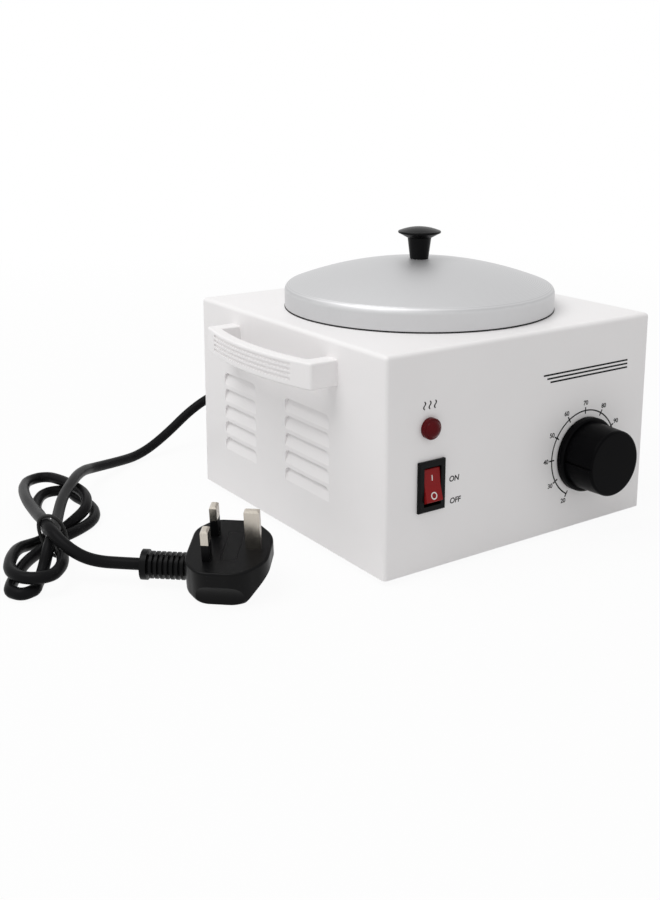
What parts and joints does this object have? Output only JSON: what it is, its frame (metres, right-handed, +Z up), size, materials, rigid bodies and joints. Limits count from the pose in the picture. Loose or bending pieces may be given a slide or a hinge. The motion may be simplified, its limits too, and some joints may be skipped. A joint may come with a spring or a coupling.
{
  "type": "wax warmer",
  "caption": "Tabletop wax warmer: white box housing with side louvres and bow handles, lift-out round pot under a domed lid, dial knob, rocker switch, lamp and a mains cord in a tied hank.",
  "frame": {"origin": "centre of the object's footprint without its cord, on the floor", "axes": "+Z up, -Y out of the front panel with knob and switch, +X towards the knob's side, handles at both ends of X"},
  "size_m": [0.3891, 0.2952, 0.1723],
  "materials": {
    "white_abs": "moulded white ABS, satin",
    "satin_aluminium": "spun and satin brushed",
    "black_plastic": "moulded black, semi-matt",
    "red_plastic": "moulded red, glossy",
    "red_lens": "dark red translucent lens",
    "black_rubber": "moulded rubber",
    "black_pvc": "soft black PVC",
    "steel": "zinc plated",
    "brass": "bright",
    "white_nylon": "natural nylon",
    "wire_insulation": "silicone insulation"
  },
  "bodies": {
    "body": {"base_plate": "steel", "base_screws": "steel", "block_screws": "steel", "bulb_clip": "steel", "capillary_tube": "brass", "cord_cores": "wire_insulation", "cord_from_gland": "black_pvc", "cord_gland": "black_rubber", "cord_hank": "black_pvc", "cord_tail": "black_pvc", "cord_tie": "black_pvc", "cord_to_plug": "black_pvc", "foot_screws": "steel", "fuse_band": "steel", "gland_nut": "black_plastic", "handle_left": "white_abs", "handle_right": "white_abs", "handle_screws": "steel", "heater_clamp": "steel", "heater_element": "steel", "heating_well": "satin_aluminium", "housing_shell": "white_abs", "lamp_body": "black_plastic", "lamp_lens": "red_lens", "lamp_nut": "black_plastic", "lid_gasket": "black_rubber", "pin_sleeves": "black_plastic", "plug_body": "black_pvc", "plug_fuse_cover": "black_plastic", "plug_pin_earth": "brass", "plug_pin_live": "brass", "plug_pin_neutral": "brass", "plug_relief": "black_pvc", "rubber_feet": "black_rubber", "sensing_bulb": "brass", "stud_nut": "steel", "stud_washer": "steel", "switch_body": "black_plastic", "switch_terminals": "brass", "terminal_block": "white_nylon", "terminal_screws": "steel", "thermal_fuse": "steel", "thermostat_body": "black_plastic", "thermostat_screws": "steel", "well_stud": "steel", "wire_earth": "wire_insulation", "wire_fuse_feed": "wire_insulation", "wire_fuse_heater": "wire_insulation", "wire_heater_neutral": "wire_insulation", "wire_switch_feed": "wire_insulation", "wire_thermostat_feed": "wire_insulation"},
    "inner_pot": {"inner_pot": "satin_aluminium"},
    "lid": {"lid_shell": "satin_aluminium", "lid_knob": "black_plastic", "lid_screw": "steel", "lid_washer": "steel"},
    "control_knob": {"control_knob": "black_plastic", "thermostat_shaft": "steel"},
    "rocker": {"switch_rocker": "red_plastic"}
  },
  "joints": [
    {"name": "pot_lift", "type": "slide", "parent": "body", "child": "inner_pot", "axis": [0, 0, 1], "range_m": [0, 0.08]},
    {"name": "lid_lift", "type": "slide", "parent": "inner_pot", "child": "lid", "axis": [0, 0, 1], "range_m": [0, 0.09]},
    {"name": "knob_turn", "type": "hinge", "parent": "body", "child": "control_knob", "pos_m": [0.047, -0.085, 0.0464], "axis": [0, 1, 0], "range_deg": [-60, 240]},
    {"name": "rocker_tilt", "type": "hinge", "parent": "body", "child": "rocker", "pos_m": [-0.068, -0.083, 0.0502], "axis": [1, 0, 0], "range_deg": [0, 22]}
  ]
}
